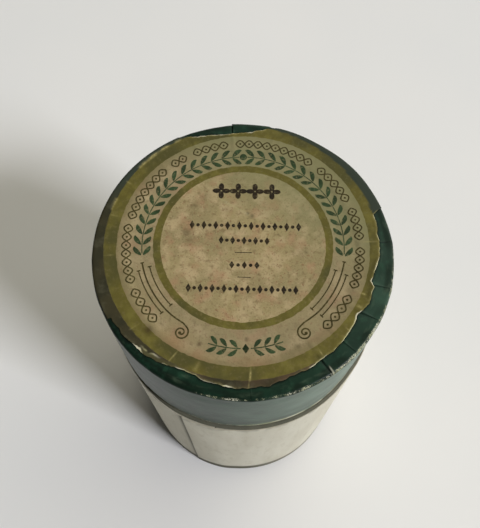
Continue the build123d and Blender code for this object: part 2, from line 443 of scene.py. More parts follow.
label_paper, tree, where = new_material("uncoated label paper, printed by letterpress")
wear, bare, soil, ply, greened, reddened, grimy = [
    add(tree, "Attribute", {"attribute_name": name}, {}).outputs["Fac"]
    for name in ("wear", "bare", "soil", "ply", "greened", "reddened", "grimy")]
centring = {"Location": (-LABEL_MIDDLE[0] * MM, -LABEL_MIDDLE[1] * MM, 0), "Scale": (1, 1, 0)}
on_label = add(tree, "Mapping", {}, {"Vector": where, **centring}).outputs[0]
distance = add(tree, "VectorMath", {"operation": "LENGTH"}, {0: on_label}).outputs["Value"]
waver = add(tree, "TexNoise", {}, {"Vector": where, "Scale": 700.0, "Detail": 3.0}).outputs[0]
waver_range = {0: waver, 3: -PRINT_WAVER * MM, 4: PRINT_WAVER * MM}
shift = add(tree, "MapRange", {}, waver_range).outputs[0]
reach = add(tree, "Math", {"operation": "ADD"}, {0: distance, 1: shift}).outputs[0]


def beyond(radius):
    """1 outside a printed edge and 0 inside it, with an edge a tenth of a millimetre soft."""
    soft = {0: reach, 1: (radius - PRINT_SOFT) * MM, 2: (radius + PRINT_SOFT) * MM}
    return add(tree, "MapRange", SOFT_RANGE, soft).outputs[0]


band, outer = [add(tree, "Math", LESS, {0: beyond(first), 1: beyond(last)}).outputs[0]
               for first, last in (INNER_BAND, OUTER_BAND)]
darker = {0: reach, 1: DARKER_FROM * MM, 2: OUTER_BAND[0] * MM, 4: 0.6}
near_band = add(tree, "MapRange", {}, darker).outputs[0]
paper = coats(
    tree, where, "#8E8059", ((13, 0.36, 0.64), 1, "#9B8B60"), ((3.4, 0.42, 0.7), 1, "#AF9B73"),
    ((1.1, 0.5, 0.74, 6.0), 0.7, "#776443"), ((4.5, 0.5, 0.72), 0.6, "#A27C5C"),
    ((0.42, 0.58, 0.7, 2.0), 0.5, "#62533A"))
# Pale flecks and foxing, in the label's flat place
paper = coats(tree, on_label, paper, ((0.36, 0.62, 0.7, 2.0), 0.4, "#BCAA82"),
              ((0.7, 0.64, 0.72, 1.0), 0.5, "#7C5238"))
olive = coats(tree, where, "#5C5422", ((2.6, 0.4, 0.7), 1, "#6B632B"), ((11, 0.45, 0.65), 1, "#4D4923"))
rubbed = patches(tree, where, 0.8, 0.3, 0.5, 4.0)
thinned = add(tree, "MapRange", {}, {0: rubbed, 3: 0.82, 4: 1.0}).outputs[0]
paper = coats(
    tree, where, paper, (beyond(INNER_BAND[1]), 0.45, "#82775A"), (near_band, 1, "#70653F"),
    (greened, 0.65, "#7A7A52"), (reddened, 0.38, "#8F6848"), (band, thinned, olive),
    (outer, thinned, olive))
margin = coats(tree, where, "#292818", ((5, 0.35, 0.65), 1, "#35311D"), ((2, 0.5, 0.7), 0.5, "#4A4836"),
               (greened, 1, "#2D362C"), (reddened, 0.7, "#54402D"))
outside = add(tree, "Math", TIMES, {0: beyond(OUTER_BAND[1]), 1: 0.97}).outputs[0]
off_band = add(tree, "Math", GREATER, {0: outside, 1: grimy}).outputs[0]
grain = patches(tree, where, 0.5, 0.3, 0.6, 4.0)
grain = add(tree, "MapRange", {}, {0: grain, 3: 0.45, 4: 1.0}).outputs[0]
fringe = coats(tree, where, "#B5AF7E", ((2.5, 0.4, 0.6), 1, "#CDC6AA"))
paper = coats(tree, where, paper, (off_band, 1, margin), (soil, 0.9, "#382A13"), (grain, wear, "#B2A468"),
              (ply, 1, "#474328"), (bare, 1, fringe))
fibres = relief(tree, where, 1800, 5, 0.3, 0.12)
finish_material(tree, paper, 0.75, Normal=fibres, Specular_IOR_Level=0.2)
print("label paper:", len(tree.nodes), "nodes")

# %% [markdown]
# ## Printing inks
# Three inks are printed on the label: green and olive in the ornament round it and a brown-black in
# the middle. Old letterpress ink is matt, a little thin in places, and worn with the paper.

# %% Ink materials


def printing_ink(name, dark, light, paper_through):
    """Ink in two tones, with paper showing through where it is rubbed."""
    ink, tree, where = new_material(name)
    base = coats(tree, where, dark, ((2.5, 0.35, 0.65), 1, light),
                 ((0.5, 0.5, 0.75), paper_through, "#8A7F5A"))
    finish_material(tree, base, 0.65, Specular_IOR_Level=0.15)
    return ink


green_ink = printing_ink("green letterpress ink", "#29371F", "#36482B", 0.45)
olive_ink = printing_ink("thin olive letterpress ink", "#363013", "#433B1A", 0.3)
brown_ink = printing_ink("brown-black letterpress ink", "#201910", "#2E2414", 0.3)
print("three inks")

# %% [markdown]
# ## Cream body paper and base paper
# The body's paper is plain cream, gone grey and spotted, with an olive line printed along its foot
# that also stands for painted shade there.
# It is uncoated, so it is matt. The line is a band of heights in the material. Under the base is a
# disc of plain machine paper.

# %% Cream body paper and base paper materials
# The foot line is printed olive and also painted shade at the foot: darker on the left, away from the
# window, paler to the right
FOOT_LINE = 7.0
LINE_SOFT = 1.2
FOOT_SHADE_FADES = (2.0, 26.0)  # the line is paler to the right, between these two places

cream_paper, tree, where = new_material("cream wood-pulp paper, printed and aged")
dirt, bare = [add(tree, "Attribute", {"attribute_name": name}, {}).outputs["Fac"]
              for name in ("dirt", "bare")]
place = add(tree, "SeparateXYZ", {}, {0: where}).outputs
upright = add(tree, "Mapping", {}, {"Vector": where, "Scale": (1.0, 1.0, 0.22)}).outputs[0]
line_edges = {0: place[2], 1: (FOOT_LINE + LINE_SOFT) * MM, 2: (FOOT_LINE - LINE_SOFT) * MM}
line = add(tree, "MapRange", SOFT_RANGE, line_edges).outputs[0]
fade_range = {0: place[0], 1: FOOT_SHADE_FADES[0] * MM, 2: FOOT_SHADE_FADES[1] * MM, 3: 0.95, 4: 0.6}
foot_shade_fade = add(tree, "MapRange", {}, fade_range).outputs[0]
base = coats(tree, upright, "#C4BFAC", ((9, 0.35, 0.65), 1, "#CECAB8"), ((2, 0.5, 0.75), 0.5, "#B7B09A"))
# The dark coat is dirt on the joint's edge, painted shadow and shade beside the joint, and darker towards
# the top
base = coats(tree, where, base, ((1.4, 0.66, 0.74, 2.0), 0.4, "#8F866B"), (line, foot_shade_fade, "#4A4833"),
             (dirt, 0.85, "#4F4C40"), (bare, 1, "#B5AD95"))
fibres = relief(tree, where, 1500, 5, 0.3, 0.12)
finish_material(tree, base, 0.72, Normal=fibres, Specular_IOR_Level=0.3)

base_paper, tree, where = new_material("grey-brown machine paper, pasted")
base = coats(tree, where, "#8D8468", ((10, 0.35, 0.65), 1, "#9C9274"), ((2, 0.5, 0.7), 0.6, "#766C52"))
fibres = relief(tree, where, 1500, 5, 0.3, 0.12)
finish_material(tree, base, 0.8, Normal=fibres, Specular_IOR_Level=0.25)
dress("base_paper", base_paper)
print("cream paper, and base paper on its disc")

# %% [markdown]
# ## Napped cotton and moulded wax
# The lining is cotton flannel, brushed on one side to a short soft nap that scatters light at
# glancing angles, which the Sheen of the Principled shader gives. The record is a hard metallic
# soap, black and softly glossy. Its groove is a fine helix, an eighth of a millimetre from turn to
# turn, which spreads a highlight along the record: anisotropy gives that without drawing the turns.

# %% Cotton and wax materials
NAP = 0.8  # the nap's tufts are about half this, drawn coarser so that they show

napped_cotton, tree, where = new_material("cotton flannel, woven and napped")
base = coats(tree, where, "#D8CFB8", ((8, 0.35, 0.65), 1, "#E2DAC6"), ((NAP, 0.45, 0.7), 0.5, "#BFB396"))
tufts = relief(tree, where, 1 / (NAP * MM), 6, 0.8, 0.5)
finish_material(tree, base, 0.95, Normal=tufts, Specular_IOR_Level=0.1, Sheen_Weight=0.35,
                Sheen_Roughness=0.5)

moulded_wax, tree, where = new_material("black metallic soap, moulded and reamed")
bloom = patches(tree, where, 4, 0.55, 0.8)
bloom = add(tree, "Math", TIMES, {0: bloom, 1: 0.25}).outputs[0]
base = coats(tree, where, "#1B1A1C", ((7, 0.4, 0.7), 1, "#242327"), (bloom, 1, "#5A5A58"))
rough = add(tree, "MapRange", {}, {0: bloom, 3: 0.28, 4: 0.6}).outputs[0]
round_axis = add(tree, "Tangent", {"direction_type": "RADIAL", "axis": "Z"}, {}).outputs[0]
finish_material(tree, base, rough, Anisotropic=0.6, Tangent=round_axis)
dress("record_cylinder", moulded_wax)
print("cotton and wax")

# %% [markdown]
# ## The lid's true outline
# Handling has pressed the lid a little out of round. The folded tabs on its top also pull the
# corner flat between one slit and the next, so the outline is slightly many-sided. Both are small
# moves of the radius: a few wide dents with a bell-shaped profile, and part of the way from the
# circle to the straight chord between two slits.

# %% Slits, dents and chords
# Each slit's direction and how plainly it shows: where the tabs are pressed flat, it hardly does
SLIT_STRENGTH = {
    3.8: 1.0, 20: 0.5, 37: 0.5, 56: 0.5, 76: 0.5, 94.8: 0.8, 113: 0.6, 131: 0.6, 150: 0.6, 167: 0.6,
    184: 0.6, 200: 0.5, 216.6: 0.3, 229: 0.12, 241: 0.2, 250.4: 0.15, 273: 0.45, 288: 0.15,
    303.5: 1.0, 315.4: 0.8, 330.5: 0.9, 344.2: 0.9,
}
SLITS = tuple(SLIT_STRENGTH)
OPEN_SLIT = 303.5
# Each dent: direction, half width in degrees and depth in mm
DENTS = ((55, 14, -0.45), (24, 12, -0.2), (138, 26, 0.15), (225, 30, -0.15))
FOOT_DENTS = ((320, 15, -0.5),)
BODY_DENTS = ((213, 17, -0.75), (322, 14, -0.35))
CHORD_SHARE = 0.22
CHORD_FADES = 7.0  # below the tabs' top, over most of this height


def out_of_round(angles, dents=DENTS):
    """A wall against a true circle, in mm: each dent is a bell of its own depth."""
    return sum(depth * bell_round(angles, at, half) for at, half, depth in dents)


def chord_sag(angles):
    """How far the corner is drawn in between two slits: the circle less the straight chord."""
    edges = np.array([*SLITS, SLITS[0] + 360.0])
    angles = (angles - edges[0]) % 360 + edges[0]
    which = np.clip(np.searchsorted(edges, angles, side="right") - 1, 0, len(SLITS) - 1)
    half = (edges[which + 1] - edges[which]) / 2
    offset = np.radians(angles - edges[which] - half)
    return CHORD_SHARE * LID_RADIUS * (np.cos(np.radians(half)) / np.cos(offset) - 1)


def lid_wall(height, angles):
    """The lid's wall against a true circle: its dents, deeper ones at the foot, and the chords,
    which fade out below the corner."""
    near_top = smooth((height - (TABS_TOP - CHORD_FADES)) / (CHORD_FADES - 1))
    near_foot = smooth((TABS_TOP - height) / (TABS_TOP - LID_LOW))
    pressed = out_of_round(angles) + near_foot * out_of_round(angles, FOOT_DENTS)
    return pressed + near_top * chord_sag(angles)


all_round = np.arange(360.0)
print("deepest dent", round(out_of_round(all_round).min(), 2), "mm,",
      "deepest chord", round(chord_sag(all_round).min(), 2), "mm")

# %% [markdown]
# ## How the tabs lie
# The cover is slit at the lid's corner and the tabs are folded inward, where there is less room, so
# each tab slides over its neighbour. From each slit a narrow double layer spreads inward, with a
# sharp step at the upper tab's edge and a soft one over the lower tab's hidden edge. The label on
# top repeats the steps more softly. One function gives the height for both.

# %% Height of the tabs and of the label over them
TABS_INNER = LID_RADIUS - 8.5
CORNER = 0.9
OVERLAP_GROWTH = 0.17
TAB_PAPER = 0.13
corner_in, corner_low = LID_RADIUS - CORNER, TABS_TOP - CORNER


def by_slit(x, y, degrees):
    """The distance across a slit's line, and which points are on the slit's side of the axis."""
    cosine, sine = np.cos(np.radians(degrees)), np.sin(np.radians(degrees))
    return y * cosine - x * sine, x * cosine + y * sine > 0


def overlap_width(distance):
    """The double layer's width, which grows inward from the rounded corner."""
    return OVERLAP_GROWTH * np.clip(corner_in - distance, 0, None)


def overlaps(x, y, soft):
    """The double layers' height in mm. For each slit, s is the distance across it and w the double
    layer's width: a step up at s = -w/2 and a softer step down at s = +w/2."""
    height = np.zeros_like(x)
    distance = np.hypot(x, y)
    width = overlap_width(distance)
    inside = smooth((distance - TABS_INNER + 0.3) / 0.6)
    for degrees, strength in SLIT_STRENGTH.items():
        across, outward = by_slit(x, y, degrees)
        rise = smooth((across + width / 2) / soft + 0.5)
        fall = smooth((across - width / 2) / (soft + 0.35) + 0.5)
        height += outward * strength * TAB_PAPER * (rise - fall)
    return height * inside


def label_height(x, y):
    """The label's upper face: level over the tabs, one paper lower inside their ends, with the
    overlaps showing through, a faint cockle all over, and rolled over the lid's corner."""
    distance = np.hypot(x, y)
    step = COVER_PAPER * (1 - smooth((distance - TABS_INNER + 0.9) / 1.8))
    cockle = 0.05 * unevenness(x, y, 7, 3) + 0.02 * unevenness(x, y, 2.3, 4)
    roll = np.clip(distance - corner_in - 0.05, 0, CORNER)
    rolled = CORNER - np.sqrt(np.clip(CORNER ** 2 - roll ** 2, 0, None))
    return TOP - step + 0.8 * overlaps(x, y, 0.6) + cockle - rolled


sample = label_height(np.array([0.0, 30.0]), np.zeros(2))
print("label height in its middle and at the tabs:", np.round(sample, 2))

# %% [markdown]
# ## The label
# The label could be a disc cut with a ragged outline, but a torn paper edge is more than an
# outline: the print stops short of the tear and a pale fringe of bare fibre shows beyond it. So the
# label is a polar grid round its own middle. Its edge follows a list of directions and distances,
# read between the points and roughened by noise, and the last few rows stand at fixed distances
# from that edge, so that they can carry the bare fringe and a slight curl.

# %% The label's edge
LABEL_RADIUS = 35.2
LABEL_ROLL = 0.7
NO_TEAR = 99.0
BACK_TEAR = (
    (74, 33.4), (77, 32.6), (80, 31.9), (83, 31.1), (86, 30.6), (95, 30.4), (101, 30.6), (106, 30.8),
    (111, 31.3), (115, 32.0), (119, 33.2),
)
FRONT_TEAR = (
    (212, 34.6), (222, 34.3), (230, 34.3), (235, 33.7), (240, 33.3), (244, 32.6), (252, 32.7),
    (256, 33.4), (262, 33.8), (270, 33.8), (280, 33.9), (283, 33.3), (293, 32.7), (303, 32.4),
    (312, 31.8), (320, 31.3), (326, 30.8), (330, 31.6), (340, 31.5), (342, 30.5), (345, 30.6),
    (350, 31.3), (362, 31.5), (374, 31.6), (376, 33.5),
)
# Direction, half width in degrees and depth in mm of the bare fringes along the tears
FRINGES = (
    (228.5, 2.0, 0.4), (246, 2.2, 0.3), (256, 4, 0.2), (265, 3, 0.3), (298, 3, 0.15), (318, 4, 0.2),
    (324, 3, 0.2), (342, 1.8, 0.4), (350, 4, 0.2), (86, 3, 0.25), (104, 4, 0.3), (112, 2, 0.3),
)


def label_edge(angles):
    """How far the label reaches in each direction from its middle, in mm: its own radius, the lid's
    rounded corner or the tear, whichever is nearest, roughened along the tears."""
    turn = np.radians(angles)
    direction = np.stack([np.cos(turn), np.sin(turn)])
    middle = np.array(LABEL_MIDDLE)[:, None]
    along = (direction * middle).sum(axis=0)
    corner_reach = corner_in + LABEL_ROLL + out_of_round(angles)
    to_corner = -along + np.sqrt(along ** 2 + corner_reach ** 2 - (middle ** 2).sum())
    tear = np.full_like(turn, NO_TEAR)
    for listed in (BACK_TEAR, FRONT_TEAR):
        at, distance = np.transpose(listed)
        place = (angles - at[0]) % 360 + at[0]
        tear = np.where(place <= at[-1], np.interp(place, at, distance), tear)
    x, y = 34 * direction
    rough = 0.16 * unevenness(x, y, 1.3, 11) + 0.08 * unevenness(x, y, 0.45, 12)
    rough += 0.25 * unevenness(x, y, 3.1, 13)
    cut = LABEL_RADIUS + 0.05 * unevenness(x, y, 0.6, 15)
    return np.minimum(np.minimum(cut, to_corner), tear + rough)


label_angles = run(0, 360, 960)
label_reach = label_edge(label_angles)
print("label reaches", label_reach.min().round(1), "to", label_reach.max().round(1), "mm")

# %% The label's sheet
# Distances of the outermost rows from the edge, and the rows underneath as shares of the reach
EDGE_ROWS = np.array([0.0, 0.09, 0.2, 0.34, 0.5, 0.7, 0.95, 1.25, 1.6])
UNDER_ROWS = np.array([0.0, 0.3, 0.55, 0.68, 0.72, 0.76, 0.8, 0.86, 0.93, 1.0])
INNER_ROWS = 72
LABEL_UNDER = 0.17
SPLIT = (236.5, 7.5)  # direction and half width of a split, whose lower ply shows
SPLIT_DEPTH = 0.9

inner_rows = np.linspace(1, 0, INNER_ROWS + 1)[1:, None] * (label_reach - EDGE_ROWS[-1])
edge_rows = label_reach - EDGE_ROWS[:, None]
reach = np.concatenate([UNDER_ROWS[:, None] * label_reach, edge_rows, inner_rows])
turn = np.radians(label_angles)
x = LABEL_MIDDLE[0] + reach * np.cos(turn)
y = LABEL_MIDDLE[1] + reach * np.sin(turn)
z = label_height(x, y)
z[:len(UNDER_ROWS)] -= LABEL_UNDER

from_edge = label_reach - reach
edge_x, edge_y = x[len(UNDER_ROWS)], y[len(UNDER_ROWS)]
on_top = smooth((33.9 - np.hypot(edge_x, edge_y)) / 0.3)
torn = smooth((LABEL_RADIUS - 0.3 - label_reach) / 0.4) * on_top
broken = smooth(0.4 + unevenness(edge_x, edge_y, 1.7, 21))
broken *= 0.6 + 0.4 * unevenness(edge_x, edge_y, 0.5, 22)
quiet = 1 - 0.9 * bell_round(label_angles, 281, 13, 4)
fringe = sum(depth * bell_round(label_angles, at, half) for at, half, depth in FRINGES)
fringe = torn * (0.11 * broken + fringe * (0.35 + 0.65 * broken)) * quiet
bare = smooth((fringe - from_edge) / 0.12 + 0.5) * (fringe > 0.04)
split = bell_round(label_angles, *SPLIT, 6)
ply = split * smooth((SPLIT_DEPTH - from_edge) / 0.15 + 0.5)
split_line = 0.8 * bell(from_edge - SPLIT_DEPTH, 0.13) * smooth((236 - label_angles) / 4 + 0.5)
bare = np.maximum(bare, split * split_line * smooth(unevenness(x, y, 0.7, 25) + 0.8))
curl = 0.22 * smooth(unevenness(edge_x, edge_y, 3.5, 23) + 0.3) * smooth(1 - from_edge / 1.2)
z += torn * curl - 0.05 * bare - 0.06 * ply
print("label sheet:", z.shape, "points")

# %% Rubbed ridges, a scratch and stains
# Each rubbed ridge: direction and distance of its two ends, half width and strength
RIDGES = (
    (241.6, 29.0, 240.6, 32.2, 0.16, 0.7), (251.8, 29.4, 251.2, 32.0, 0.4, 0.35),
    (273.6, 28.5, 271.6, 35.5, 0.13, 0.4), (273.3, 29.6, 272.8, 32.2, 0.2, 0.75),
    (303, 29.5, 303, 31.8, 0.16, 0.4), (318, 29.8, 318, 31.6, 0.16, 0.45),
    (329, 29.2, 329.4, 30.8, 0.35, 0.7), (335, 28.4, 335.4, 30.2, 0.2, 0.6),
    (1, 27, 1, 33, 0.16, 0.3), (186, 29.5, 186, 32, 0.16, 0.3), (167, 29.5, 167, 32, 0.2, 0.35),
    (221, 29.5, 220.4, 32.4, 0.16, 0.3), (150, 30.5, 150, 32.5, 0.2, 0.3),
)
# Each stain and each reddened patch: x, y, half width and strength
STAINS = (
    (-13.2, 4.4, 1.0, 0.5), (-12.4, 2.6, 1.4, 0.3), (-11.6, 11.4, 1.3, 0.25), (2.1, 8.8, 0.5, 0.9),
    (1.2, 9.4, 0.4, 0.7), (-20.7, -19.5, 0.9, 0.8), (13.5, -1.5, 2.0, 0.2), (14.5, -0.6, 0.5, 0.5),
    (-9.5, -22.5, 0.5, 0.6), (0.8, -21.5, 0.45, 0.7), (12, -23, 0.5, 0.5), (-4, 10.5, 0.9, 0.25),
    (-8.4, 14.1, 1.5, 0.2),
)
REDDENED = ((-15, -22.5, 3.2, 1), (-10, -27, 3.0, 1), (3, -28.3, 3.5, 1), (9.5, -30.5, 2.8, 1),
            (14, -27, 2.2, 1))
SCRATCH_START, SCRATCH_END = np.array([-6.5, 14.0]), np.array([2.4, 8.5])


def spots(listed):
    """The strongest of several soft round spots on the label."""
    bells = [depth * bell(np.hypot(x - a, y - b), half) for a, b, half, depth in listed]
    return np.max(bells, axis=0)


wear = np.zeros_like(x)
for start, first, end, last, half, strength in RIDGES:
    line = start + (end - start) * (reach - first) / (last - first)
    across = reach * np.radians(from_middle(label_angles - line))
    along_ridge = smooth((reach - first) / 1.5) * smooth((last - reach) / 0.8 + 0.5)
    wear = np.maximum(wear, strength * along_ridge * bell(across, half))
left_quiet = 1 - 0.9 * bell_round(label_angles, 217, 13, 4)
wear = np.maximum(wear, 0.3 * smooth(1 - from_edge / 0.6) * torn * quiet * left_quiet)
# The outer band's edge is rubbed pale on the left at the back
rubbed_edge = bell(reach - 32.35, 0.3) * bell_round(label_angles, 140, 24, 4)
wear = np.maximum(wear, 0.75 * rubbed_edge * smooth(unevenness(x, y, 1.6, 26) * 1.5 + 0.4))
wear *= 0.6 + 0.6 * smooth(unevenness(x, y, 0.8, 24) + 0.5)
# A fine pale scratch crosses the middle field
scratch_length = np.linalg.norm(SCRATCH_END - SCRATCH_START)
way_x, way_y = (SCRATCH_END - SCRATCH_START) / scratch_length
from_x, from_y = x - SCRATCH_START[0], y - SCRATCH_START[1]
on_scratch = np.abs((from_x * way_x + from_y * way_y) / 10.5 - 0.5) < 0.5
bare = np.maximum(bare, 0.22 * bell(from_y * way_x - from_x * way_y, 0.22) * on_scratch)
greened = smooth((0.55 * x + 0.83 * y - 4) / 18)
greened += smooth((np.hypot(x, y) - 30) / 2) * smooth((x - 12) / 12)
greened += smooth((reach - 32) / 0.5) * smooth((y - 8) / 12)
# On the right at the back, grime covers the outer edge of the printed band
grimy_from = 32.4 - 0.85 * bell_round(label_angles, 30, 36, 4)
grimy = 0.95 * smooth((reach - grimy_from + 0.15 * unevenness(x, y, 1.2, 27)) / 0.25 + 0.5)
label_sheet = make_piece("label_sheet", np.stack([x, y, z], axis=-1), "lid", "label_paper", label_paper,
                         closed_section=False, wear=wear, bare=bare, soil=spots(STAINS), ply=ply,
                         greened=np.clip(greened, 0, 1), reddened=spots(REDDENED), grimy=grimy)
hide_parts("lid_label")

# %% [markdown]
# ## The lid's green cover
# One sheet of green paper goes round the lid, turned up inside at the foot and folded over the top
# corner as tabs. It could be a plain tube with thickness from a modifier, but then the lapped joint
# at the back would be missing. So its section is carried round by a little more than a full turn,
# and its last centimetre lies over its first. The foot, the wall, the rounded corner and the tabs
# are one section of lines and arcs, and the paper's thickness closes it on the inside.

# %% Section of the lid's cover
TURN_IN = 10.0
FOOT_BEND = 0.35
LID_LAP = 9.0
LID_SEAM = 80.0
LAP_DEPTH = 0.95 * COVER_PAPER  # where two layers meet, the lower one lies this much deeper

bore = NECK_RADIUS + 0.3
pasted_bore = bore + COVER_PAPER
bend_high, board_foot, turn_top = LID_LOW + FOOT_BEND, LID_LOW + COVER_PAPER, LID_LOW + TURN_IN
outer_path = np.concatenate([
    run((bore, turn_top), (bore, bend_high), 5),
    bend((bore + FOOT_BEND, bend_high), FOOT_BEND, 180, 270, 3),
    run((bore + FOOT_BEND, LID_LOW), (LID_RADIUS - FOOT_BEND, LID_LOW), 3),
    bend((LID_RADIUS - FOOT_BEND, bend_high), FOOT_BEND, 270, 360, 4),
    run((LID_RADIUS, bend_high), (LID_RADIUS, LID_LOW + 4), 8),
    run((LID_RADIUS, LID_LOW + 4), (LID_RADIUS, corner_low - 1.5), 24),
    run((LID_RADIUS, corner_low - 1.5), (LID_RADIUS, corner_low), 4),
    bend((corner_in, corner_low), CORNER, 0, 90, 9),
    run((corner_in, TABS_TOP), (TABS_INNER + 3, TABS_TOP), 16),
    np.linspace((TABS_INNER + 3, TABS_TOP), (TABS_INNER, TABS_TOP), 4),
])
inner_path = np.concatenate([
    run((TABS_INNER, DISC_TOP), (HOOP_RADIUS - CORNER + COVER_PAPER, DISC_TOP), 3),
    bend((corner_in, corner_low), CORNER - COVER_PAPER, 90, 0, 4),
    run((HOOP_RADIUS, corner_low), (HOOP_RADIUS, board_foot), 4),
    run((HOOP_RADIUS, board_foot), (pasted_bore, board_foot), 2),
    np.linspace((pasted_bore, board_foot), (pasted_bore, turn_top), 3),
])
section = np.concatenate([outer_path, inner_path])
wide, tall = section[:, :1], section[:, 1:]
outer = (np.arange(len(section)) < len(outer_path))[:, None]
print("lid cover section:", len(section), "points")

# %% The lid's cover, carried round from its joint
lap_turn = np.degrees(LID_LAP / LID_RADIUS)
even = np.linspace(LID_SEAM, LID_SEAM + 360 + lap_turn, 700)
near_slits = np.add.outer(SLITS, (-0.5, -0.25, 0.0, 0.25, 0.5)).ravel()
near_slits = (near_slits - LID_SEAM) % 360 + LID_SEAM
angles = np.unique(np.concatenate([even, near_slits]).round(3))
arc = np.radians(angles) * LID_RADIUS
height = tall + 0 * angles

on_wall = smooth((wide - TABS_INNER) / (LID_RADIUS - TABS_INNER)) * (wide > pasted_bore + 0.1)
ripple = 0.07 * unevenness(arc, height, 9, 31) + 0.03 * unevenness(arc, height, 3, 32)
radius = wide + on_wall * (lid_wall(tall, angles) + ripple)
# The sheet's first centimetre lies under its last, so all beyond one turn is one paper further out
over = smooth((angles - LID_SEAM - 360 + 2) / 1.5)
radius += over * COVER_PAPER * (wide > LID_RADIUS - 0.5)

x, y = np.moveaxis(spin(radius, height, angles)[..., :2], -1, 0)
polar_distance = np.hypot(x, y)
top_row = outer * (height > corner_low)
flat = smooth((height - TABS_TOP + 0.25) / 0.25) * top_row
lift = overlaps(x, y, 0.08) + 0.04 * unevenness(x, y, 5, 33)
print("lid cover:", x.shape, "points")

# %% [markdown]
# The slits show as fine dark lines where dirt has settled. One has opened, with a pale torn lip
# beside it. Wear follows the corner, most on the right-hand front, and the foot.

# %% Slits, wear and the mesh of the lid's cover
slit_dirt = np.zeros_like(x)
for angle, strength in SLIT_STRENGTH.items():
    across, outward = by_slit(x, y, angle)
    half = 0.3 if angle == OPEN_SLIT else 0.12
    line = bell(across + overlap_width(polar_distance) / 2, half) * outward * top_row
    slit_dirt = np.maximum(slit_dirt, strength * line)
    if angle == OPEN_SLIT:
        gap = line
        lip = bell(across - 0.42, 0.14) * outward * top_row * smooth((polar_distance - 32.5) / 1.5)
height += flat * (lift - 0.2 * gap + 0.08 * lip)
# At the joint the sheet's first centimetre lies one paper deeper, at the foot, inside and on top
section_way = np.gradient(section, axis=0)
section_way /= np.linalg.norm(section_way, axis=1, keepdims=True)
section_way[len(outer_path):] *= -1
deeper = LAP_DEPTH * (1 - smooth((angles - LID_SEAM - lap_turn) / 0.8))
radius += deeper * np.clip(-section_way[:, 1:], 0, 1)
height += deeper * section_way[:, :1]
grid = spin(radius, height, angles)

corner_row = outer * bell(np.hypot(wide - LID_RADIUS + 0.15, tall - TABS_TOP + 0.25), 0.5)
above_foot = tall - LID_LOW
near_wall = smooth((wide - LID_RADIUS + 0.8) / 0.4)
foot_row = outer * bell(above_foot, 1.3) * near_wall
# On the right in front the very edge is rubbed bare, under a crease drawn only as painted shade
right_front = bell_round(angles, 306, 34, 4)
foot_edge = right_front * smooth((2.3 - above_foot) / 0.5) * near_wall * outer
foot_edge = foot_edge * smooth(unevenness(arc, height, 2.5, 39) + 0.9)
# Painted shade of a crease: a dark band about 4 mm above the foot, all round and strongest on the right
# in front
foot_dirt = bell(above_foot - 4.1, 1.2) * near_wall * (0.3 + 0.45 * right_front)
# Direction, half width in degrees and strength of each worn stretch
CORNER_WEAR = (
    (318, 26, 1.2), (290, 18, 0.9), (264, 16, 0.65), (345, 18, 0.7), (20, 30, 0.4), (150, 40, 0.35),
    (235, 20, 0.25), (80, 40, 0.3),
)
FOOT_WEAR = ((318, 34, 1.2), (270, 60, 0.9), (350, 40, 0.7), (180, 80, 0.6), (80, 60, 0.5))
corner_worn, foot_worn = [
    np.max([strength * bell_round(angles, at, half) for at, half, strength in listed], axis=0)
    for listed in (CORNER_WEAR, FOOT_WEAR)]
wear = corner_row * corner_worn + foot_row * foot_worn
wear *= 0.55 + 0.7 * smooth(unevenness(arc, height, 0.6, 34) + 0.4)
bare = np.maximum(smooth(lip * 1.3) * 0.9, 0.95 * foot_edge)
seam_line = bell(angles - angles[-1], 0.35) * on_wall

# %% Dirt, painted shade, tone and painted light of the lid's cover
# A painted shadow runs along the label's edge, and dirt has settled inside the corner on the left
from_label = x - LABEL_MIDDLE[0], y - LABEL_MIDDLE[1]
round_label = np.degrees(np.arctan2(from_label[1], from_label[0])) % 360
past_label = np.hypot(*from_label) - np.interp(round_label, label_angles, label_reach, period=360)
label_edge_shadow = top_row * bell(np.clip(past_label, -1, 9), 0.32)
settled = top_row * bell(polar_distance - LID_RADIUS + 1.5, 0.8) * bell_round(angles, 222, 30)
settled = settled * smooth(unevenness(x, y, 0.5, 37) + 0.7)
dirt = np.max([0.9 * slit_dirt, 0.8 * seam_line, foot_dirt, 0.95 * label_edge_shadow, 0.9 * settled], axis=0)
# Each tab has its own tone, and the rounded corner is darker than the flat
tab_tone = np.random.default_rng(35).uniform(0, 0.4, len(SLITS) + 1)
which_tab = np.searchsorted(np.array(SLITS), np.degrees(np.arctan2(y, x)) % 360)
rim = smooth((polar_distance - LID_RADIUS + 2.5) / 0.9) * smooth(0.7 + unevenness(x, y, 3, 36))
shade = top_row * np.maximum(tab_tone[which_tab], 0.8 * rim)
# Painted light: the paper is painted paler on the right, where the window's light falls, most on the wall
# and a little on the top
on_side = smooth((TABS_TOP - height - 0.5) / 1.0)
faded = 0.95 * on_side * bell_round(angles, 318, 42) + 0.1 * on_side
faded += 0.3 * (1 - on_side) * bell_round(angles, 350, 38)
faded = faded * (0.7 + 0.3 * unevenness(x, height + y, 4, 38))
lengths = np.concatenate([[0], np.cumsum(np.hypot(*np.diff(section, axis=0).T))])
uv = np.stack(np.broadcast_arrays(arc, lengths[:, None]), axis=-1)
lid_cover = make_piece("lid_cover", grid, "lid", "green_glazed_paper", green_paper, closed_round=False,
                       wear=wear, dirt=dirt, bare=bare, shade=shade, faded=faded, uv=uv)
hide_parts("lid_wrap")

# %% [markdown]
# ## The lid's hoop
# Under the paper is the wound hoop. It follows the paper's dents, so it stands for the true round
# one of the measured model, with the same bore.

